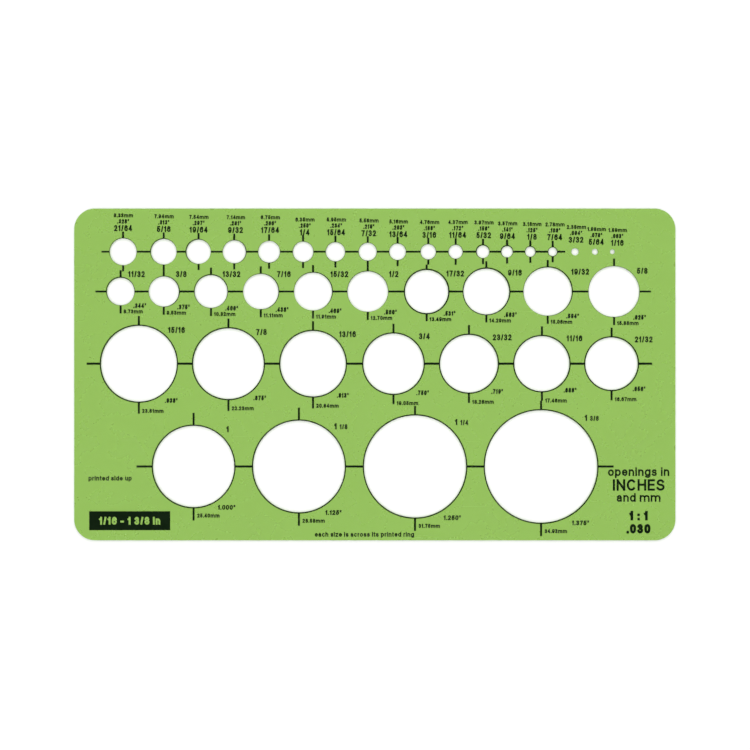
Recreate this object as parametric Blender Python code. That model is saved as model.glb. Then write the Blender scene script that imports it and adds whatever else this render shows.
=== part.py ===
"""Circle template: a thin green plastic sheet with round openings for drawing circles.

Blender 4.5, metres, +Z up. The sheet lies flat, with the centre of its underside at the origin,
+X along its long side and +Y towards the edge beside the smallest openings. The sheet is one
die-cut piece. The print on its upper face is a set of ink layers: for each row of openings their
centre lines, ticks and outlines, and one solid label block.
"""

import math
from fractions import Fraction
from typing import NamedTuple

import bmesh
import bpy
from mathutils import Matrix

INCH = 0.0254
MM = 0.001

# Sheet
SHEET_LENGTH = 7.25 * INCH
SHEET_WIDTH = 4.0 * INCH
SHEET_THICKNESS = 0.030 * INCH
CORNER_RADIUS = 0.25 * INCH

# Ink
INK_THICKNESS = 0.03 * MM
INK_LIFT = 0.01 * MM  # the least gap that keeps the ink and the sheet separate solids
OUTLINE_MARGIN = 0.05 * MM  # bare plastic between an opening and its printed outline
OUTLINE_WIDTH = 0.25 * MM
TICK_GAP = 0.2 * MM  # between the facing ticks of two rows

# Label block, placed from the sheet's lower left corner
LABEL_LENGTH = 24.8 * MM
LABEL_WIDTH = 5.8 * MM
LABEL_LEFT = 4.6 * MM
LABEL_BOTTOM = 3.1 * MM

FACET_HEIGHT = 0.03 * MM  # the most that a facet of an opening cuts inside its circle
LEAST_SEGMENTS = 24
CORNER_SEGMENTS = 8
SHARP_ANGLE = math.radians(30)
CUTTER_OVERSHOOT = 1.0 * MM
FILL_SCALE = 1000  # plates are filled at this scale, as Blender's fill joins points that are very close

GREEN_PLASTIC = (0.31, 0.55, 0.12, 1.0)
BLACK_INK = (0.006, 0.014, 0.004, 1.0)


class Row(NamedTuple):
    """A row of openings. height and centres are in inches from the sheet's lower left corner."""

    name: str
    height: float
    centres: dict  # nominal size in inches: distance from the left edge
    undersize: float  # how much narrower an opening is than its nominal diameter
    unlined: tuple  # sizes too small to have lines
    line_width: float
    overhang: float  # of the centre line, past the first and last openings
    ticks: tuple  # how long they are over an opening, and under it
    odd_ticks: dict  # nominal size: the lengths of ticks that aren't like the row's others


ROWS = [
    Row(
        name="row_1",
        height=3.48,
        centres={
            "21/64": 0.59, "5/16": 1.08, "19/64": 1.50, "9/32": 1.93, "17/64": 2.35, "1/4": 2.76,
            "15/64": 3.15, "7/32": 3.54, "13/64": 3.90, "3/16": 4.27, "11/64": 4.60, "5/32": 4.93,
            "9/64": 5.22, "1/8": 5.50, "7/64": 5.77, "3/32": 6.04, "5/64": 6.28, "1/16": 6.49,
        },
        undersize=0.1 * MM,
        unlined=("3/32", "5/64", "1/16"),
        line_width=0.5 * MM,
        overhang=2.5 * MM,
        ticks=(2.0 * MM, 1.9 * MM),
        odd_ticks={},
    ),
    Row(
        name="row_2",
        height=3.00,
        centres={
            "11/32": 0.56, "3/8": 1.08, "13/32": 1.65, "7/16": 2.25, "15/32": 2.88,
            "1/2": 3.54, "17/32": 4.25, "9/16": 4.97, "19/32": 5.71, "5/8": 6.51,
        },
        undersize=0.3 * MM,
        unlined=(),
        line_width=0.5 * MM,
        overhang=3.5 * MM,
        ticks=(2.3 * MM, 2.5 * MM),
        odd_ticks={},
    ),
    Row(
        name="row_3",
        height=2.13,
        centres={
            "15/16": 0.78, "7/8": 1.86, "13/16": 2.88, "3/4": 3.85,
            "23/32": 4.76, "11/16": 5.64, "21/32": 6.48,
        },
        undersize=0.6 * MM,
        unlined=(),
        line_width=0.6 * MM,
        overhang=4.4 * MM,
        ticks=(3.0 * MM, 3.2 * MM),
        odd_ticks={size: (3.0 * MM, 3.7 * MM) for size in ("15/16", "7/8", "13/16")},
    ),
    Row(
        name="row_4",
        height=0.89,
        centres={"1": 1.44, "1 1/8": 2.71, "1 1/4": 4.11, "1 3/8": 5.63},
        undersize=0.5 * MM,
        unlined=(),
        line_width=0.6 * MM,
        overhang=5.0 * MM,
        ticks=(4.0 * MM, 4.1 * MM),
        odd_ticks={"1 1/4": (2.9 * MM, 4.1 * MM)},
    ),
]


class Opening(NamedTuple):
    """A round hole through the sheet, in metres from the sheet's centre."""

    x: float
    y: float
    radius: float
    lined: bool
    ticks: tuple


def openings(row):
    """The row's openings, from the left."""
    found = []
    for size, from_left in row.centres.items():
        nominal = float(sum(Fraction(term) for term in size.split())) * INCH
        found.append(
            Opening(
                x=from_left * INCH - SHEET_LENGTH / 2,
                y=row.height * INCH - SHEET_WIDTH / 2,
                radius=(nominal - row.undersize) / 2,
                lined=size not in row.unlined,
                ticks=row.odd_ticks.get(size, row.ticks),
            )
        )
    return found


def segments_for(radius):
    """Sides of a regular polygon that keeps within FACET_HEIGHT of its circle, in fours."""
    half_angle = math.acos(1 - FACET_HEIGHT / radius)
    return max(LEAST_SEGMENTS, 4 * math.ceil(math.pi / half_angle / 4))


def arc(x, y, radius, start, sweep, steps):
    """Points from start round to start + sweep, both ends included."""
    angles = [start + sweep * step / steps for step in range(steps + 1)]
    return [(x + radius * math.cos(a), y + radius * math.sin(a)) for a in angles]


def circle(opening):
    """The outline of one opening."""
    steps = segments_for(opening.radius)
    return arc(opening.x, opening.y, opening.radius, 0, math.tau, steps)[:-1]


def rounded_rectangle(length, width, radius):
    """A rectangle centred on the origin, with rounded corners."""
    x = length / 2 - radius
    y = width / 2 - radius
    centres = [(x, y), (-x, y), (-x, -y), (x, -y)]
    points = []
    for quarter, (corner_x, corner_y) in enumerate(centres):
        points += arc(corner_x, corner_y, radius, quarter * math.pi / 2, math.pi / 2, CORNER_SEGMENTS)
    return points


def principled(name, color, roughness):
    """A plain non-metal material."""
    material = bpy.data.materials.new(name)
    material.use_nodes = True
    shader = material.node_tree.nodes["Principled BSDF"]
    shader.inputs["Base Color"].default_value = color
    shader.inputs["Roughness"].default_value = roughness
    shader.inputs["Metallic"].default_value = 0.0
    return material


def flat_plate(name, outlines, thickness, bottom, material, collection):
    """A plate from closed outlines in XY. An outline inside another one is a hole."""
    curve = bpy.data.curves.new(name, "CURVE")
    curve.dimensions = "2D"
    curve.fill_mode = "BOTH"
    curve.extrude = thickness * FILL_SCALE / 2
    for points in outlines:
        spline = curve.splines.new("POLY")
        spline.points.add(len(points) - 1)
        for point, (x, y) in zip(spline.points, points):
            point.co = (x * FILL_SCALE, y * FILL_SCALE, 0, 1)
        spline.use_cyclic_u = True
    filled = bpy.data.objects.new(name, curve)
    mesh = bpy.data.meshes.new_from_object(filled)
    bpy.data.objects.remove(filled)
    mesh.transform(Matrix.Scale(1 / FILL_SCALE, 4))
    mesh.materials.clear()
    mesh.materials.append(material)
    plate = bpy.data.objects.new(name, mesh)
    plate.location.z = bottom + thickness / 2
    collection.objects.link(plate)
    return plate


def add_cylinder(bm, opening, radius, depth):
    """An upright cylinder, centred on an opening, as one body in bm."""
    bmesh.ops.create_cone(
        bm,
        cap_ends=True,
        segments=segments_for(opening.radius),
        radius1=radius,
        radius2=radius,
        depth=depth,
        matrix=Matrix.Translation((opening.x, opening.y, 0)),
    )


def add_bar(bm, x_range, y_range, depth):
    """A box over x_range and y_range, as one body in bm."""
    centre = Matrix.Translation((sum(x_range) / 2, sum(y_range) / 2, 0))
    size = Matrix.Diagonal((x_range[1] - x_range[0], y_range[1] - y_range[0], depth, 1))
    bmesh.ops.create_cube(bm, size=1, matrix=centre @ size)


def mesh_object(name, bm, height, collection):
    """A new object from bm, whose bodies are centred on that height."""
    mesh = bpy.data.meshes.new(name)
    bm.to_mesh(mesh)
    bm.free()
    mesh.shade_smooth()
    mesh.set_sharp_from_angle(angle=SHARP_ANGLE)
    made = bpy.data.objects.new(name, mesh)
    made.location.z = height
    collection.objects.link(made)
    return made


def tick_length(row, opening, direction):
    """How far a tick runs past its outline. Facing ticks of two rows share the web between them."""
    up, down = opening.ticks
    length = up if direction > 0 else down
    for other_row in ROWS:
        in_line = (row.line_width + other_row.line_width) / 2 + TICK_GAP
        for other in openings(other_row):
            ahead = (other.y - opening.y) * direction
            if ahead > 0 and other.lined and abs(other.x - opening.x) < in_line:
                web = ahead - opening.radius - other.radius
                length = min(length, (web - TICK_GAP) / 2)
    return length


def centre_lines(row, height, material, parts, cutters):
    """One layer of ink: the row's centre line, and each opening's outline and two ticks."""
    lined = [opening for opening in openings(row) if opening.lined]
    half = row.line_width / 2
    ink = bmesh.new()
    cutter = bmesh.new()
    for opening in lined:
        inner = opening.radius + OUTLINE_MARGIN
        add_cylinder(ink, opening, inner + OUTLINE_WIDTH, INK_THICKNESS)
        add_cylinder(cutter, opening, inner, INK_THICKNESS + CUTTER_OVERSHOOT)
        low = opening.y - opening.radius - tick_length(row, opening, -1)
        high = opening.y + opening.radius + tick_length(row, opening, 1)
        add_bar(ink, (opening.x - half, opening.x + half), (low, high), INK_THICKNESS)
    left = lined[0].x - lined[0].radius - row.overhang
    right = lined[-1].x + lined[-1].radius + row.overhang
    row_y = lined[0].y
    add_bar(ink, (left, right), (row_y - half, row_y + half), INK_THICKNESS)

    layer = mesh_object(f"{row.name}_centre_lines", ink, height, parts)
    layer.data.materials.append(material)
    holes = mesh_object(f"{row.name}_cutter", cutter, height, cutters)
    holes.display_type = "WIRE"
    holes.hide_render = True
    cut = layer.modifiers.new("openings", "BOOLEAN")
    cut.operation = "DIFFERENCE"
    cut.solver = "EXACT"
    cut.use_self = True  # the outlines, ticks and line overlap, and become one body
    cut.object = holes
    return layer


def new_collection(name):
    """A collection in the scene."""
    collection = bpy.data.collections.new(name)
    bpy.context.scene.collection.children.link(collection)
    return collection


def main():
    for old in list(bpy.data.objects):
        bpy.data.objects.remove(old)
    parts = new_collection("circle_template")
    cutters = new_collection("cutters")

    plastic = principled("green_plastic", GREEN_PLASTIC, roughness=0.35)
    outlines = [rounded_rectangle(SHEET_LENGTH, SHEET_WIDTH, CORNER_RADIUS)]
    for row in ROWS:
        outlines += [circle(opening) for opening in openings(row)]
    flat_plate("template_sheet", outlines, SHEET_THICKNESS, 0.0, plastic, parts)

    ink_bottom = SHEET_THICKNESS + INK_LIFT
    for row in ROWS:
        ink = principled(f"{row.name}_ink", BLACK_INK, roughness=0.5)
        centre_lines(row, ink_bottom + INK_THICKNESS / 2, ink, parts, cutters)

    left = LABEL_LEFT - SHEET_LENGTH / 2
    bottom = LABEL_BOTTOM - SHEET_WIDTH / 2
    right = left + LABEL_LENGTH
    top = bottom + LABEL_WIDTH
    label = [(left, bottom), (right, bottom), (right, top), (left, top)]
    label_ink = principled("label_ink", BLACK_INK, roughness=0.5)
    flat_plate("label_block", [label], INK_THICKNESS, ink_bottom, label_ink, parts)


main()
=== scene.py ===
"""Looks of the circle template: its fine geometry, print, materials, floor, light and camera.

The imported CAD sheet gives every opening's place and radius. From those come the smooth sheet, the
lines printed round the openings, and the size printed beside each one, worked out from its radius.
Shapes are drawn in millimetres from the sheet's centre, and turned to metres as they become meshes.
"""

import math
from fractions import Fraction
from itertools import compress, groupby
from typing import NamedTuple

import bmesh
import bpy
import numpy
from mathutils import Matrix, Vector
from mathutils.geometry import delaunay_2d_cdt


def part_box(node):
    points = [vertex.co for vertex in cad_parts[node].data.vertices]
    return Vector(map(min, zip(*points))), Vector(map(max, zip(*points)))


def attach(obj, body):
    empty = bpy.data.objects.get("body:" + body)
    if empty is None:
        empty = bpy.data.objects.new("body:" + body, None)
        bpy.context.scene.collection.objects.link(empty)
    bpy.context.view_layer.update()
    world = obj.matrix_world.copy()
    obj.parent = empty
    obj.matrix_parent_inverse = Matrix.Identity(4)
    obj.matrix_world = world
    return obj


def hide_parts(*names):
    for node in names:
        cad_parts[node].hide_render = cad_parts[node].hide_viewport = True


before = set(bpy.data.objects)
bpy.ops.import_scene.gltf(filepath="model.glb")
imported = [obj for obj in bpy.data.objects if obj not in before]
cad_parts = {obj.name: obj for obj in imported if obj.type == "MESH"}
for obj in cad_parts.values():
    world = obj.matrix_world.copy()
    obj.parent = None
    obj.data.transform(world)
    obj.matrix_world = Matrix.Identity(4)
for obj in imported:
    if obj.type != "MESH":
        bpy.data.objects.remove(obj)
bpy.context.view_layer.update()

MM = 0.001
MM_PER_INCH = Fraction("25.4")
SIZE_STEP = Fraction(1, 64)  # the nominal diameters are whole steps, in inches
FACET = 0.004  # the most that a straight side cuts inside its circle
LEAST_SIDES = 32
SMOOTH_ANGLE = 15  # degrees
WELD = 0.0005  # points nearer to each other than this are one point

# Sheet
SHEET_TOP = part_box("template_sheet")[1].z / MM
EDGE_RADIUS = 0.07
CORNER_SIDES = 24

# Ink
INK_BOTTOM = SHEET_TOP + 0.002
INK_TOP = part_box("label_block")[1].z / MM
THINNEST_OUTLINE = 0.03
OUTLINE_START = 0.02  # bare plastic between an opening's edge and the ink
TICK_WIDTH = 0.6

# Sizes in the tables below are in inches, as fractions in their lowest terms.

# At these openings the ink circle round the opening is wider on one side: its mean width, how
# much that changes, and the direction of the widest part in degrees.
OFF_CENTRE_OUTLINES = {
    "21/64": (0.10, 0.06, 90),
    "5/16": (0.11, 0.12, 135),
    "19/64": (0.14, 0.15, 150),
    "9/32": (0.11, 0.12, 15),
    "17/64": (0.09, 0.04, 300),
    "5/32": (0.18, 0.14, 130),
    "9/64": (0.17, 0.13, 110),
    "1/8": (0.14, 0.06, 70),
    "7/64": (0.15, 0.00, 0),
    "11/32": (0.17, 0.13, 110),
    "3/8": (0.15, 0.14, 15),
    "13/32": (0.19, 0.10, 85),
    "7/16": (0.12, 0.12, 15),
    "15/32": (0.14, 0.13, 45),
    "1/2": (0.10, 0.07, 90),
    "17/32": (0.38, 0.02, 0),
    "9/16": (0.31, 0.07, 50),
    "19/32": (0.19, 0.14, 45),
}

# A tick that isn't as long as its row's others: 1 is the upper one, and -1 the lower one.
ODD_TICKS = {("15/16", -1): 3.7, ("7/8", -1): 3.7, ("13/16", -1): 3.7, ("5/4", 1): 2.9}

# Row 1's inch sizes: how far the middle of each is right of its opening's centre, and its baseline
# above the opening's edge. The decimal and metric sizes are above them.
USUAL_STACK_PLACE = (0.2, 2.1)
STACK_PLACES = {
    "21/64": (0.0, 2.2),
    "5/16": (0.0, 2.1),
    "19/64": (0.0, 2.1),
    "9/32": (0.4, 2.2),
    "17/64": (0.3, 2.4),
    "1/4": (0.5, 1.9),
    "7/32": (0.3, 2.0),
    "13/64": (0.2, 1.9),
    "3/16": (0.3, 1.9),
    "11/64": (0.6, 2.1),
    "5/32": (0.2, 2.2),
    "9/64": (0.1, 2.1),
    "1/8": (0.5, 2.1),
    "7/64": (0.6, 2.2),
    "3/32": (0.3, 1.6),
    "5/64": (0.4, 1.15),
    "1/16": (1.5, 1.05),
}
DECIMAL_RISE = 2.3  # above the inch size
METRIC_RISE = 4.2
METRIC_SHIFT = 0.1  # to the right

# How far right of their row's pattern some inch sizes of rows 2 to 4 are.
INCH_SHIFTS = {
    "11/32": -0.4,
    "3/8": -0.4,
    "7/16": 0.3,
    "15/32": 0.8,
    "1/2": 0.2,
    "17/32": 0.5,
    "19/32": 0.7,
    "5/8": -1.1,
    "3/4": 0.3,
    "11/16": 0.5,
    "21/32": 0.3,
    "9/8": -0.3,
}
FRACTION_SHIFT = 1.65  # from a whole number to the fraction after it

# Lettering
LETTER_GAP = 0.13  # this, and all widths of letters, are shares of the capitals' height
SPACE = 0.2
X_HEIGHT = 0.72
ARC_STEP = 15  # degrees
ALL_TRIANGLES = 0  # the output_type with which delaunay_2d_cdt fills the whole convex hull


class Style(NamedTuple):
    """A way of lettering. size is the height of capitals and numerals."""

    size: float
    wide: float  # a letter's width, as a share of its usual one
    stroke: float  # this and slant are shares of size
    slant: float = 0.0


INCHES = Style(1.85, 0.9, 0.21)
MIXED_WHOLE = Style(1.85, 1.0, 0.24)
MIXED_FRACTION = Style(1.55, 0.88, 0.22)
DECIMALS = Style(1.47, 0.83, 0.24, 0.05)
STACKED_DECIMALS = DECIMALS._replace(size=1.38)
MIXED_DECIMALS = DECIMALS._replace(wide=1.03)
METRIC = Style(1.25, 0.96, 0.24)
BLOCK = Style(2.4, 1.0, 0.25)
TITLE = Style(2.65, 1.05, 0.185)
LARGE_TITLE = TITLE._replace(size=3.5)
GAUGE = Style(2.9, 1.0, 0.27)
NOTE = Style(1.45, 1.03, 0.21)

# The title: each line's text, its baseline above the sheet's lower edge, and its style.
TITLE_X = 80.8  # the middle of its lines
TITLE_LINES = [
    ("openings in", 19.7, TITLE),
    ("INCHES", 15.2, LARGE_TITLE),
    ("and mm", 11.8, TITLE),
    ("1 : 1", 6.1, GAUGE),
    (".030", 2.1, GAUGE),
]

# Each note's text, and its place from the sheet's lower left corner.
NOTES = [
    ("printed side up", 4.4, 18.3),
    ("each size is across its printed ring", 73.7, 1.1),
]

# Colours, from the darker parts of the material to the lighter
GREENS = [(0.266, 0.528, 0.037, 1), (0.273, 0.541, 0.040, 1)]
BLACKS = [(0.0012, 0.0075, 0.0008, 1), (0.004, 0.013, 0.003, 1)]
PEEL_DEPTH = 0.004 * MM
GRAIN_DEPTH = 0.003 * MM

# Stage, in metres
FLOOR_SIZE = 4.0
FLOOR_GAP = 0.1 * MM  # between the floor and the sheet
SKY_STRENGTHS = (0.42, 2.85)  # at the sides, and straight above
BRIGHT_SKY = 0.7  # a direction with a Z above this is in the brighter part of the sky
SOFTBOXES = [  # each one's name, place, size, and power in watts
    ("key", (0.1, 0.65, 0.65), 0.45, 1.3),
    ("fill", (-0.75, -0.6, 0.8), 0.6, 0.7),
]
VIEW_WIDTH = 229.7 * MM  # what the frame spans at the sheet
VIEW_MIDDLE = (0.06 * MM, -0.17 * MM)
LENS = 100.0


class Opening(NamedTuple):
    """A round hole through the sheet. size is its nominal diameter in inches."""

    x: float
    y: float
    radius: float
    size: Fraction


class Row(NamedTuple):
    """How a row's lines are printed, and where each opening's three labels are."""

    undersize: float  # how much narrower an opening is than its nominal diameter
    unlined: tuple  # sizes too small to have lines
    line_width: float
    tick_up: float
    tick_down: float
    outline: float  # the printed circles' width
    labels: object  # the function that places them


class Label(NamedTuple):
    """A line of print. x is its left end or its middle, as align says, and y its baseline."""

    text: str
    x: float
    y: float
    style: Style
    align: str = "LEFT"


# ---------------------------------------------------------------------------- the CAD sheet


def walls(node):
    """The points of each closed upright wall of a CAD node, seen from above."""
    mesh = bmesh.new()
    mesh.from_mesh(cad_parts[node].data)
    bmesh.ops.remove_doubles(mesh, verts=mesh.verts, dist=WELD * MM)
    flat = [face for face in mesh.faces if abs(face.normal.z) > 0.5]
    bmesh.ops.delete(mesh, geom=flat, context="FACES")
    found = []
    waiting = set(mesh.verts)
    while waiting:
        reached = [waiting.pop()]
        for vertex in reached:
            for edge in vertex.link_edges:
                other = edge.other_vert(vertex)
                if other in waiting:
                    waiting.remove(other)
                    reached.append(other)
        found.append([(vertex.co.x / MM, vertex.co.y / MM) for vertex in reached])
    mesh.free()
    return found


def length_of(outline):
    """How far an outline's points reach along X."""
    return max(x for x, y in outline) - min(x for x, y in outline)


def openings_in_rows(holes):
    """The openings of each row in ROWS, from the left, made from the walls round them."""
    found = []
    for hole in holes:
        radius = length_of(hole) / 2
        middle_y = (max(y for x, y in hole) + min(y for x, y in hole)) / 2
        found.append((-round(middle_y, 2), min(x for x, y in hole) + radius, radius))
    grouped = groupby(sorted(found), key=lambda opening: opening[0])
    rows = []
    for row, (down, members) in zip(ROWS, grouped):
        rows.append([Opening(x, -down, radius, nominal_size(radius, row)) for _, x, radius in members])
    return rows


def nominal_size(radius, row):
    """The printed size, in inches, of an opening of that radius."""
    steps = round((2 * radius + row.undersize) / MM_PER_INCH / SIZE_STEP)
    return steps * SIZE_STEP


# ---------------------------------------------------------------------------- flat outlines


def sides_for(radius):
    """How many sides keep a regular polygon within FACET of its circle, in fours."""
    half_angle = math.acos(1 - FACET / radius)
    return max(LEAST_SIDES, 4 * math.ceil(math.pi / half_angle / 4))


def arc(x, y, radius, start, end, sides):
    """Points along an arc about (x, y), both ends included. radius is a function of the angle."""
    angles = [start + (end - start) * step / sides for step in range(sides + 1)]
    return [(x + radius(a) * math.cos(a), y + radius(a) * math.sin(a)) for a in angles]


def circle(x, y, radius):
    return arc(x, y, lambda angle: radius, 0, math.tau, sides_for(radius))[:-1]


def rounded_rectangle(length, width, corner):
    """A rectangle about the sheet's centre, with rounded corners."""
    x = length / 2 - corner
    y = width / 2 - corner
    points = []
    for quarter, (middle_x, middle_y) in enumerate([(x, y), (-x, y), (-x, -y), (x, -y)]):
        start = quarter * math.pi / 2
        points += arc(middle_x, middle_y, lambda angle: corner, start, start + math.pi / 2, CORNER_SIDES)
    return points


def rectangle(low_x, low_y, high_x, high_y):
    return [(low_x, low_y), (high_x, low_y), (high_x, high_y), (low_x, high_y)]


def printed_radius(opening, row):
    """The outer radius of the circle printed round an opening, as a function of the angle."""
    usual = (row.outline, 0.0, 0.0)
    mean, shift, direction = OFF_CENTRE_OUTLINES.get(str(opening.size), usual)
    inner = opening.radius + OUTLINE_START

    def radius(angle):
        width = mean + shift * math.cos(angle - math.radians(direction))
        return inner + max(THINNEST_OUTLINE, width)

    return radius


def upper_edge(opening, row, tick, side):
    """The ink's outline over an opening, or under it if side is -1: arc, tick and arc from the left."""
    half = TICK_WIDTH / 2
    radius = printed_radius(opening, row)
    sides = sides_for(opening.radius) // 4
    start = math.asin(row.line_width / 2 / opening.radius)
    stop = math.pi / 2 - math.asin(half / opening.radius)
    left = arc(opening.x, opening.y, radius, side * (math.pi - start), side * (math.pi - stop), sides)
    right = arc(opening.x, opening.y, radius, side * stop, side * start, sides)
    end = opening.y + side * (opening.radius + tick)
    return left + [(opening.x - half, end), (opening.x + half, end)] + right


# ---------------------------------------------------------------------------- meshes


def fill(name, outlines, bottom, top, edge_radius=0.0):
    """A plate's mesh from closed outlines. An outline inside another one is a hole."""
    curve = bpy.data.curves.new(name, "CURVE")
    curve.dimensions = "2D"
    curve.fill_mode = "BOTH"
    curve.extrude = (top - bottom) / 2 - edge_radius
    curve.bevel_depth = edge_radius
    curve.bevel_resolution = 1
    curve.offset = -edge_radius
    for points in outlines:
        spline = curve.splines.new("POLY")
        spline.points.add(len(points) - 1)
        for point, (x, y) in zip(spline.points, points):
            point.co = (x, y, 0, 1)
        spline.use_cyclic_u = True
    return solid_mesh(curve, Matrix.Translation((0, 0, (bottom + top) / 2)))


def solid_mesh(curve, place):
    """The closed mesh that a curve makes, put in place. The curve is removed."""
    maker = bpy.data.objects.new(curve.name, curve)
    bpy.context.scene.collection.objects.link(maker)
    depsgraph = bpy.context.evaluated_depsgraph_get()
    mesh = bpy.data.meshes.new_from_object(maker.evaluated_get(depsgraph))
    mesh.transform(place)
    bpy.data.objects.remove(maker)
    bpy.data.curves.remove(curve)
    return mesh


def piece(name, meshes, material):
    """One piece of the object, from meshes in millimetres."""
    joined = bmesh.new()
    for mesh in meshes:
        joined.from_mesh(mesh)
        bpy.data.meshes.remove(mesh)
    bmesh.ops.remove_doubles(joined, verts=joined.verts, dist=WELD)
    bmesh.ops.transform(joined, matrix=Matrix.Scale(MM, 4), verts=joined.verts)
    result = bpy.data.meshes.new(name)
    joined.to_mesh(result)
    joined.free()
    result.shade_smooth()
    result.set_sharp_from_angle(angle=math.radians(SMOOTH_ANGLE))
    result.materials.clear()
    result.materials.append(material)
    made = bpy.data.objects.new(name, result)
    bpy.context.scene.collection.objects.link(made)
    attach(made, "root")
    return made


# ---------------------------------------------------------------------------- lettering


def bow(x, y, across, up, start=0, end=360):
    """Points of an elliptical arc about (x, y). Angles are in degrees."""
    steps = math.ceil(abs(end - start) / ARC_STEP)
    angles = [math.radians(start + (end - start) * step / steps) for step in range(steps + 1)]
    return [(x + across * math.cos(a), y + up * math.sin(a)) for a in angles]


def dot(y):
    """A stroke that is nearly a point, so that the pen makes a square."""
    return [(0.5, y), (0.5, y + 0.001)]


# Each character is a width and its pen strokes. A stroke is the pen's middle line, from 0 to 1
# across the character and from the baseline, 0, to the top of the capitals, 1.
STEM = [(0, 0), (0, 1)]
SHORT_STEM = [(0, 0), (0, X_HEIGHT)]
ROUND = bow(0.5, X_HEIGHT / 2, 0.5, X_HEIGHT / 2)
ARCH = [*bow(0.5, 0.42, 0.5, X_HEIGHT - 0.42, 180, 0), (1, 0)]
CHARACTERS = {
    "0": (0.64, [[*bow(0.5, 0.64, 0.5, 0.36, 0, 180), *bow(0.5, 0.36, 0.5, 0.36, 180, 360), (1, 0.64)]]),
    "1": (0.42, [[(0.85, 0), (0.85, 1)], [(0, 0.76), (0.5, 0.82), (0.82, 0.98)]]),
    "2": (0.62, [[*bow(0.49, 0.7, 0.47, 0.3, 170, -30), (0.04, 0.02)], [(0, 0), (1, 0)]]),
    "3": (0.62, [bow(0.47, 0.76, 0.44, 0.24, 165, -90), bow(0.47, 0.26, 0.5, 0.26, 90, -165)]),
    "4": (0.66, [[(0.74, 0), (0.74, 1)], [(0, 0.25), (1, 0.25)], [(0.7, 0.98), (0, 0.27)]]),
    "5": (0.62, [[(0.92, 1), (0.2, 1)], [(0.2, 1), (0.1, 0.5)], bow(0.47, 0.33, 0.5, 0.33, 140, -160)]),
    "6": (0.64, [bow(0.5, 0.32, 0.5, 0.32), bow(0.54, 0.5, 0.54, 0.5, 35, 190)]),
    "7": (0.62, [[(0, 1), (1, 1)], [(0.98, 0.98), (0.55, 0.45), (0.38, 0)]]),
    "8": (0.64, [bow(0.5, 0.76, 0.43, 0.24), bow(0.5, 0.26, 0.5, 0.26)]),
    "9": (0.64, [bow(0.5, 0.68, 0.5, 0.32), bow(0.46, 0.5, 0.54, 0.5, 215, 370)]),
    "/": (0.4, [[(0, 0), (1, 1)]]),
    ".": (0.2, [dot(0)]),
    ":": (0.2, [dot(0), dot(0.62)]),
    "-": (0.45, [[(0, 0.36), (1, 0.36)]]),
    '"': (0.36, [[(0.1, 0.74), (0.1, 1)], [(0.9, 0.74), (0.9, 1)]]),
    "C": (0.78, [bow(0.5, 0.5, 0.5, 0.5, 45, 315)]),
    "E": (0.6, [STEM, [(0, 1), (1, 1)], [(0, 0.53), (0.92, 0.53)], [(0, 0), (1, 0)]]),
    "H": (0.72, [STEM, [(1, 0), (1, 1)], [(0, 0.53), (1, 0.53)]]),
    "I": (0.2, [[(0.5, 0), (0.5, 1)]]),
    "N": (0.72, [STEM, [(0, 1), (1, 0)], [(1, 0), (1, 1)]]),
    "S": (0.68, [[*bow(0.5, 0.76, 0.44, 0.24, 20, 270), *bow(0.5, 0.26, 0.5, 0.26, 90, -160)]]),
    "a": (0.6, [[*bow(0.46, 0.47, 0.44, 0.25, 160, 0), (0.9, 0)],
                [(0.9, 0.42), *bow(0.42, 0.2, 0.42, 0.2, 90, 270), (0.9, 0.13)]]),
    "c": (0.58, [bow(0.5, 0.36, 0.5, 0.36, 45, 315)]),
    "d": (0.64, [ROUND, [(1, 0), (1, 1)]]),
    "e": (0.62, [[(0, 0.37), (1, 0.37)], bow(0.5, 0.36, 0.5, 0.36, 0, 320)]),
    "g": (0.64, [ROUND, [(1, X_HEIGHT), (1, -0.05), *bow(0.5, -0.05, 0.5, 0.22, 0, -150)]]),
    "h": (0.6, [STEM, ARCH]),
    "i": (0.2, [[(0.5, 0), (0.5, X_HEIGHT)], dot(1)]),
    "m": (1.08, [SHORT_STEM, [*bow(0.25, 0.46, 0.25, 0.26, 180, 0), (0.5, 0)],
                 [*bow(0.75, 0.46, 0.25, 0.26, 180, 0), (1, 0)]]),
    "n": (0.6, [SHORT_STEM, ARCH]),
    "o": (0.64, [ROUND]),
    "p": (0.64, [ROUND, [(0, -0.28), (0, X_HEIGHT)]]),
    "r": (0.36, [SHORT_STEM, bow(0.95, 0.42, 0.95, 0.3, 180, 90)]),
    "s": (0.56, [[*bow(0.5, 0.55, 0.45, 0.17, 20, 270), *bow(0.5, 0.19, 0.5, 0.19, 90, -160)]]),
    "t": (0.36, [[(0.4, 0.94), (0.4, 0.15), *bow(0.8, 0.15, 0.4, 0.15, 180, 270)],
                 [(0, X_HEIGHT), (1, X_HEIGHT)]]),
    "u": (0.6, [[(0, X_HEIGHT), *bow(0.5, 0.3, 0.5, 0.3, 180, 360)], [(1, 0), (1, X_HEIGHT)]]),
    "z": (0.56, [[(0, X_HEIGHT), (1, X_HEIGHT)], [(1, X_HEIGHT), (0, 0)], [(0, 0), (1, 0)]]),
}


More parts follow.
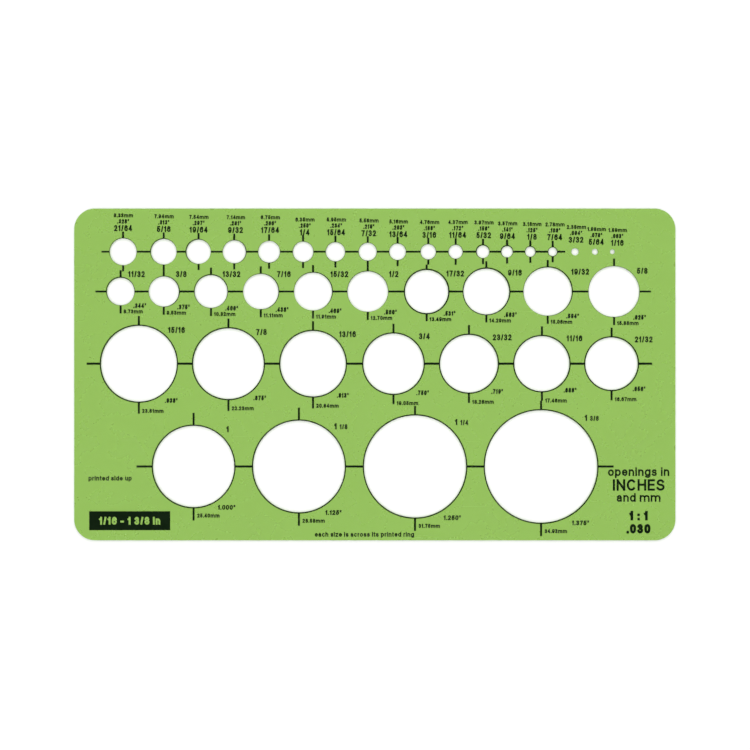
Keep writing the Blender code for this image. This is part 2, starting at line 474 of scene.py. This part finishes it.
def stroke_shapes(line, half):
    """A pen stroke as rectangles: one for each straight part, meeting corner to corner at the bends."""
    points = [Vector(point) for point in line]
    parts = [part for part in zip(points, points[1:]) if (part[1] - part[0]).length > WELD]
    ways = [(end - start).normalized() for start, end in parts]
    bends = [half * math.tan(way.angle(following) / 2) for way, following in zip(ways, ways[1:])]
    closed = (points[0] - points[-1]).length < WELD
    end_reach = half * math.tan(ways[-1].angle(ways[0]) / 2) if closed else half
    reaches = [end_reach, *bends, end_reach]
    shapes = []
    for (start, end), way, before, after in zip(parts, ways, reaches, reaches[1:]):
        across = way.orthogonal() * half
        low = start - way * before
        high = end + way * after
        shapes.append([low + across, low - across, high - across, high + across])
    return shapes


def letter_shapes(label):
    """The strokes of a line of print, as rectangles in their places."""
    style = label.style
    half = style.stroke / 2
    letters = [CHARACTERS.get(letter, (SPACE, [])) for letter in label.text]
    widths = [width * style.wide for width, _ in letters]
    reach = -(sum(widths) + LETTER_GAP * (len(widths) - 1)) / 2 if label.align == "CENTER" else 0.0
    shapes = []
    for width, (_, lines) in zip(widths, letters):
        for line in lines:
            inset = [(half + x * (width - 2 * half), half + y * (1 - 2 * half)) for x, y in line]
            for shape in stroke_shapes(inset, half):
                shapes.append([
                    (label.x + (reach + x + y * style.slant) * style.size, label.y + y * style.size)
                    for x, y in shape
                ])
        reach += width + LETTER_GAP
    return shapes


def covered(places, shapes):
    """Which of the places are within a shape. The shapes are convex, and their corners anticlockwise."""
    found = numpy.zeros(len(places), dtype=bool)
    for shape in shapes:
        corners = numpy.array(shape)
        sides = numpy.roll(corners, -1, axis=0) - corners
        offsets = places[:, None, :] - corners
        turns = sides[:, 0] * offsets[:, :, 1] - sides[:, 1] * offsets[:, :, 0]
        found |= (turns > 0).all(axis=1)
    return found


def flat_solid(name, shapes, cutters, bottom, top):
    """A solid's mesh from shapes that may overlap, less the cutters."""
    points = []
    loops = []
    for shape in [*shapes, *cutters]:
        loops.append(list(range(len(points), len(points) + len(shape))))
        points += [Vector(point) for point in shape]
    corners, _, triangles, _, _, _ = delaunay_2d_cdt(points, [], loops, ALL_TRIANGLES, WELD)
    middles = numpy.array(corners)[numpy.array(triangles)].mean(axis=1)
    flat = bmesh.new()
    vertices = [flat.verts.new((*corner, bottom)) for corner in corners]
    for triangle in compress(triangles, covered(middles, shapes) & ~covered(middles, cutters)):
        flat.faces.new([vertices[index] for index in triangle])
    loose = [vertex for vertex in vertices if not vertex.link_faces]
    bmesh.ops.delete(flat, geom=loose, context="VERTS")
    bmesh.ops.dissolve_limit(flat, angle_limit=math.radians(1), verts=flat.verts, edges=flat.edges)
    bmesh.ops.triangulate(flat, faces=flat.faces)
    flat.verts.index_update()
    places = [tuple(vertex.co.xy) for vertex in flat.verts]
    lid = [[vertex.index for vertex in face.verts] for face in flat.faces]
    flat.free()
    return between_lids(name, places, lid, bottom, top)


def between_lids(name, places, lid, bottom, top):
    """A closed mesh. The lid's anticlockwise triangles are its top and, turned over, its bottom."""
    count = len(places)
    edges = [pair for triangle in lid for pair in zip(triangle, triangle[1:] + triangle[:1])]
    known = set(edges)
    sides = [(a, b, b + count, a + count) for a, b in edges if (b, a) not in known]
    under = [triangle[::-1] for triangle in lid]
    over = [[index + count for index in triangle] for triangle in lid]
    mesh = bpy.data.meshes.new(name)
    mesh.from_pydata([(x, y, z) for z in (bottom, top) for x, y in places], [], [*under, *over, *sides])
    return mesh


# ---------------------------------------------------------------------------- print


def print_meshes(labels):
    """The meshes of several lines of print."""
    return [flat_solid("print", letter_shapes(label), [], INK_BOTTOM, INK_TOP) for label in labels]


def rounded(value):
    """The nearest whole number. A half is rounded up."""
    return math.floor(value + Fraction(1, 2))


def inch_text(size):
    """Such as 21/64 or 1 3/8."""
    whole, part = divmod(size, 1)
    return " ".join(str(term) for term in (whole, part) if term)


def decimal_text(size):
    """Such as .328" for 21/64."""
    whole, part = divmod(rounded(size * 1000), 1000)
    return f'{whole or ""}.{part:03d}"'


def metric_text(size):
    """Such as 8.33mm for 21/64."""
    whole, part = divmod(rounded(size * MM_PER_INCH * 100), 100)
    return f"{whole}.{part:02d}mm"


def stacked_labels(opening):
    """Row 1: three lines over the opening."""
    right, rise = STACK_PLACES.get(str(opening.size), USUAL_STACK_PLACE)
    x = opening.x + right
    y = opening.y + opening.radius + rise
    return [
        Label(inch_text(opening.size), x, y, INCHES, "CENTER"),
        Label(decimal_text(opening.size), x, y + DECIMAL_RISE, STACKED_DECIMALS, "CENTER"),
        Label(metric_text(opening.size), x + METRIC_SHIFT, y + METRIC_RISE, METRIC, "CENTER"),
    ]


def scattered_labels(inch, decimal, metric, align="LEFT", least_rise=0.0):
    """Rows 2 to 4: the inch size above and right of the opening, the other two below it.

    inch and decimal begin with how far right of the centre they are: a share of the radius, and
    millimetres added to that. inch ends with the share of the radius that it is above the centre,
    which comes to least_rise at least, and decimal with its distance below the opening. metric is
    how far it is right of the centre and below the opening.
    """

    def place(opening):
        size = opening.size
        r = opening.radius
        inch_x = opening.x + inch[0] * r + inch[1] + INCH_SHIFTS.get(str(size), 0.0)
        inch_y = opening.y + max(least_rise, inch[2] * r)
        decimal_x = opening.x + decimal[0] * r + decimal[1]
        decimal_style = DECIMALS if size < 1 else MIXED_DECIMALS
        bottom = opening.y - r
        return [
            *inch_label(size, inch_x, inch_y, align),
            Label(decimal_text(size), decimal_x, bottom - decimal[2], decimal_style),
            Label(metric_text(size), opening.x + metric[0], bottom - metric[1], METRIC),
        ]

    return place


def inch_label(size, x, y, align):
    """A fraction, or a larger whole number with the fraction after it."""
    whole, part = divmod(size, 1)
    if not whole:
        return [Label(str(size), x, y, INCHES, align)]
    labels = [Label(str(whole), x, y, MIXED_WHOLE, align)]
    if part:
        labels.append(Label(str(part), x + FRACTION_SHIFT, y, MIXED_FRACTION, align))
    return labels


ROWS = [
    Row(
        undersize=0.1,
        unlined=("3/32", "5/64", "1/16"),
        line_width=0.53,
        tick_up=2.0,
        tick_down=1.9,
        outline=0.09,
        labels=stacked_labels,
    ),
    Row(
        undersize=0.3,
        unlined=(),
        line_width=0.56,
        tick_up=2.3,
        tick_down=2.5,
        outline=0.08,
        labels=scattered_labels(
            inch=(1.25, 0.0, 0.695),
            decimal=(0.55, 1.63, 0.85),
            metric=(0.92, 2.51),
            align="CENTER",
            least_rise=4.4,
        ),
    ),
    Row(
        undersize=0.6,
        unlined=(),
        line_width=0.65,
        tick_up=3.0,
        tick_down=3.2,
        outline=0.36,
        labels=scattered_labels(
            inch=(0.6, 2.0, 0.81), decimal=(0.42, 3.15, 0.42), metric=(1.0, 3.48)
        ),
    ),
    Row(
        undersize=0.5,
        unlined=(),
        line_width=0.63,
        tick_up=4.0,
        tick_down=4.1,
        outline=0.36,
        labels=scattered_labels(
            inch=(0.7, 1.3, 0.812), decimal=(0.42, 2.15, 0.8), metric=(1.1, 3.2), least_rise=10.5
        ),
    ),
]


def is_lined(opening, row):
    """Whether the opening has a printed circle and ticks."""
    return str(opening.size) not in row.unlined


def tick_length(opening, row, side, all_rows):
    """A tick's length. It ends halfway to the tick of an opening straight above or below it."""
    usual = row.tick_up if side > 0 else row.tick_down
    length = ODD_TICKS.get((str(opening.size), side), usual)
    for other_row, others in all_rows:
        for other in others:
            ahead = (other.y - opening.y) * side
            in_line = abs(other.x - opening.x) < TICK_WIDTH
            if ahead > 0 and in_line and is_lined(other, other_row):
                length = min(length, (ahead - opening.radius - other.radius) / 2)
    return length


def centre_lines(node, row, openings, all_rows):
    """A row's centre line, with the printed circle and two ticks of each opening, as one outline."""
    lined = [opening for opening in openings if is_lined(opening, row)]
    low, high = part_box(node)
    middle = lined[0].y
    half = row.line_width / 2
    upper = [(low.x / MM, middle + half)]
    lower = [(low.x / MM, middle - half)]
    for opening in lined:
        upper += upper_edge(opening, row, tick_length(opening, row, 1, all_rows), 1)
        lower += upper_edge(opening, row, tick_length(opening, row, -1, all_rows), -1)
    upper.append((high.x / MM, middle + half))
    lower.append((high.x / MM, middle - half))
    holes = [circle(opening.x, opening.y, opening.radius + OUTLINE_START) for opening in lined]
    return fill(node, [upper + lower[::-1], *holes], INK_BOTTOM, INK_TOP)


# ---------------------------------------------------------------------------- materials


class Nodes:
    """Adds nodes to a material, one short call each, and links them."""

    def __init__(self, name):
        self.material = bpy.data.materials.new(name)
        self.material.use_nodes = True
        self.tree = self.material.node_tree
        self.shader = self.tree.nodes["Principled BSDF"]
        self.place = self.tree.nodes.new("ShaderNodeTexCoord").outputs["Object"]

    def add(self, kind, inputs, **settings):
        """A new node. A node's output given as an input is linked, and a value is set."""
        node = self.tree.nodes.new(kind)
        for name, value in settings.items():
            setattr(node, name, value)
        for name, value in inputs.items():
            if isinstance(value, bpy.types.NodeSocket):
                self.tree.links.new(value, node.inputs[name])
            else:
                node.inputs[name].default_value = value
        return node

    def stretched(self, x, y, turn):
        """Object coordinates with X and Y scaled, and turned about Z by so many degrees."""
        node = self.add("ShaderNodeMapping", {"Vector": self.place}, vector_type="POINT")
        node.inputs["Scale"].default_value = (x, y, 1.0)
        node.inputs["Rotation"].default_value = (0, 0, math.radians(turn))
        return node.outputs["Vector"]

    def noise(self, vector, scale, detail=2.0):
        """A noise between 0 and 1 with about scale bumps a metre."""
        node = self.add("ShaderNodeTexNoise", {"Vector": vector, "Scale": scale, "Detail": detail})
        return node.outputs["Fac"]

    def between(self, value, low, high, to_low, to_high):
        """value, mapped from low..high to to_low..to_high and held there."""
        node = self.add(
            "ShaderNodeMapRange",
            {"Value": value, "From Min": low, "From Max": high, "To Min": to_low, "To Max": to_high},
        )
        return node.outputs["Result"]

    def maths(self, operation, first, second):
        node = self.add("ShaderNodeMath", {}, operation=operation)
        for socket, value in zip(node.inputs, (first, second)):
            if isinstance(value, bpy.types.NodeSocket):
                self.tree.links.new(value, socket)
            else:
                socket.default_value = value
        return node.outputs["Value"]

    def blend(self, share, first, second):
        """A colour from first to second."""
        node = self.add("ShaderNodeMix", {}, data_type="RGBA")
        self.tree.links.new(share, node.inputs["Factor"])
        node.inputs[6].default_value = first
        node.inputs[7].default_value = second
        return node.outputs[2]

    def bump(self, height, distance):
        """A normal that bumps of that depth in metres give, where height is 0 to 1."""
        node = self.add("ShaderNodeBump", {"Height": height, "Distance": distance, "Strength": 1.0})
        return node.outputs["Normal"]

    def finish(self, constants, **linked):
        """Sets the shader's constant sockets by name, and links the others."""
        for name, value in constants.items():
            self.shader.inputs[name].default_value = value
        for name, output in linked.items():
            self.tree.links.new(output, self.shader.inputs[name.replace("_", " ")])
        return self.material


def green_plastic():
    """Translucent green sheet: faint mottling, hairline scratches from use, a slight orange peel."""
    nodes = Nodes("green_plastic")
    cloud = nodes.noise(nodes.place, 45.0, 3.0)
    colour = nodes.blend(nodes.between(cloud, 0.3, 0.7, 0.0, 1.0), *GREENS)
    scratch_layers = []
    for turn, along, across in [(7, 30, 5200), (-24, 40, 4400), (81, 26, 4800)]:
        line = nodes.noise(nodes.stretched(along, across, turn), 1.0, 1.0)
        scratch_layers.append(nodes.between(line, 0.76, 0.84, 0.0, 1.0))
    scratches = scratch_layers[0]
    for layer in scratch_layers[1:]:
        scratches = nodes.maths("MAXIMUM", scratches, layer)
    haze = nodes.between(nodes.noise(nodes.place, 160.0, 4.0), 0.25, 0.75, 0.26, 0.29)
    roughness = nodes.maths("ADD", haze, nodes.maths("MULTIPLY", scratches, 0.025))
    peel = nodes.bump(nodes.noise(nodes.place, 900.0), PEEL_DEPTH)
    return nodes.finish(
        {"IOR": 1.49, "Specular IOR Level": 0.4, "Transmission Weight": 0.30},
        Base_Color=colour,
        Roughness=roughness,
        Normal=peel,
    )


def black_ink():
    """Screen-printed ink: matte, a little uneven in density, with the grain of the screen."""
    nodes = Nodes("black_ink")
    density = nodes.noise(nodes.place, 260.0, 3.0)
    colour = nodes.blend(nodes.between(density, 0.3, 0.75, 0.0, 1.0), *BLACKS)
    roughness = nodes.between(nodes.noise(nodes.place, 1400.0), 0.2, 0.8, 0.48, 0.66)
    grain = nodes.bump(nodes.noise(nodes.place, 5000.0, 1.0), GRAIN_DEPTH)
    return nodes.finish(
        {"IOR": 1.3, "Specular IOR Level": 0.08},
        Base_Color=colour,
        Roughness=roughness,
        Normal=grain,
    )


def pale_floor():
    """Plain matte white."""
    nodes = Nodes("pale_floor")
    return nodes.finish({"Base Color": (0.9, 0.9, 0.9, 1), "Roughness": 0.9, "Specular IOR Level": 0.1})


# ---------------------------------------------------------------------------- the object

plastic = green_plastic()
ink = black_ink()

outlines = sorted(walls("template_sheet"), key=length_of)
edge = outlines.pop()
rows = openings_in_rows(outlines)
all_rows = list(zip(ROWS, rows))

low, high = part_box("template_sheet")
length = (high.x - low.x) / MM
width = (high.y - low.y) / MM
corner = length / 2 - max(x for x, y in edge if y > width / 2 - WELD)
holes = [circle(opening.x, opening.y, opening.radius) for row in rows for opening in row]
sheet_outlines = [rounded_rectangle(length, width, corner), *holes]
sheet_mesh = fill("sheet", sheet_outlines, low.z / MM, high.z / MM, EDGE_RADIUS)
sheet = piece("sheet", [sheet_mesh], plastic)
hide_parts("template_sheet")

for number, (row, openings) in enumerate(all_rows, start=1):
    node = f"row_{number}_centre_lines"
    lines = piece(f"row_{number}_lines", [centre_lines(node, row, openings, all_rows)], ink)
    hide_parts(node)
    printed = [label for opening in openings for label in row.labels(opening)]
    piece(f"row_{number}_sizes", print_meshes(printed), ink)

block_low, block_high = (corner_point / MM for corner_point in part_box("label_block"))
block_outline = rectangle(block_low.x, block_low.y, block_high.x, block_high.y)
block_middle = (block_low + block_high) / 2
all_sizes = [opening.size for row in rows for opening in row]
block_text = Label(
    f"{inch_text(min(all_sizes))} - {inch_text(max(all_sizes))} in",
    block_middle.x,
    block_middle.y - BLOCK.size / 2,
    BLOCK,
    "CENTER",
)
block_mesh = flat_solid("label", [block_outline], letter_shapes(block_text), INK_BOTTOM, INK_TOP)
block = piece("label", [block_mesh], ink)
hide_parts("label_block")

left = -length / 2
bottom = -width / 2
title = [Label(text, TITLE_X, bottom + rise, style, "CENTER") for text, rise, style in TITLE_LINES]
piece("title", print_meshes(title), ink)
notes = [Label(text, left + right, bottom + rise, NOTE) for text, right, rise in NOTES]
piece("notes", print_meshes(notes), ink)

# ---------------------------------------------------------------------------- stage

bpy.ops.mesh.primitive_plane_add(size=FLOOR_SIZE, location=(0, 0, -FLOOR_GAP))
floor = bpy.context.object
floor.name = "floor"
floor.data.materials.append(pale_floor())

world = bpy.data.worlds.new("studio")
bpy.context.scene.world = world
world.use_nodes = True
sky = world.node_tree
direction = sky.nodes.new("ShaderNodeTexCoord").outputs["Generated"]
split = sky.nodes.new("ShaderNodeSeparateXYZ")
sky.links.new(direction, split.inputs["Vector"])
shade = sky.nodes.new("ShaderNodeMapRange")
sky.links.new(split.outputs["Z"], shade.inputs["Value"])
shade.inputs["From Min"].default_value = BRIGHT_SKY
shade.inputs["From Max"].default_value = 1.0
shade.inputs["To Min"].default_value = SKY_STRENGTHS[0]
shade.inputs["To Max"].default_value = SKY_STRENGTHS[1]
sky.links.new(shade.outputs["Result"], sky.nodes["Background"].inputs["Strength"])
sky.nodes["Background"].inputs["Color"].default_value = (1, 1, 1, 1)


def softbox(name, place, size, power):
    """A square area light that faces the sheet's centre."""
    light = bpy.data.lights.new(name, "AREA")
    light.shape = "SQUARE"
    light.size = size
    light.energy = power
    lamp = bpy.data.objects.new(name, light)
    lamp.location = place
    lamp.rotation_euler = (-Vector(place)).to_track_quat("-Z", "Y").to_euler()
    bpy.context.scene.collection.objects.link(lamp)


for light_settings in SOFTBOXES:
    softbox(*light_settings)

camera_data = bpy.data.cameras.new("camera")
camera_data.lens = LENS
camera_data.clip_start = 0.01
camera = bpy.data.objects.new("camera", camera_data)
camera.location = (*VIEW_MIDDLE, high.z + VIEW_WIDTH * LENS / camera_data.sensor_width)
bpy.context.scene.collection.objects.link(camera)
bpy.context.scene.camera = camera
bpy.context.scene.view_settings.view_transform = "Standard"
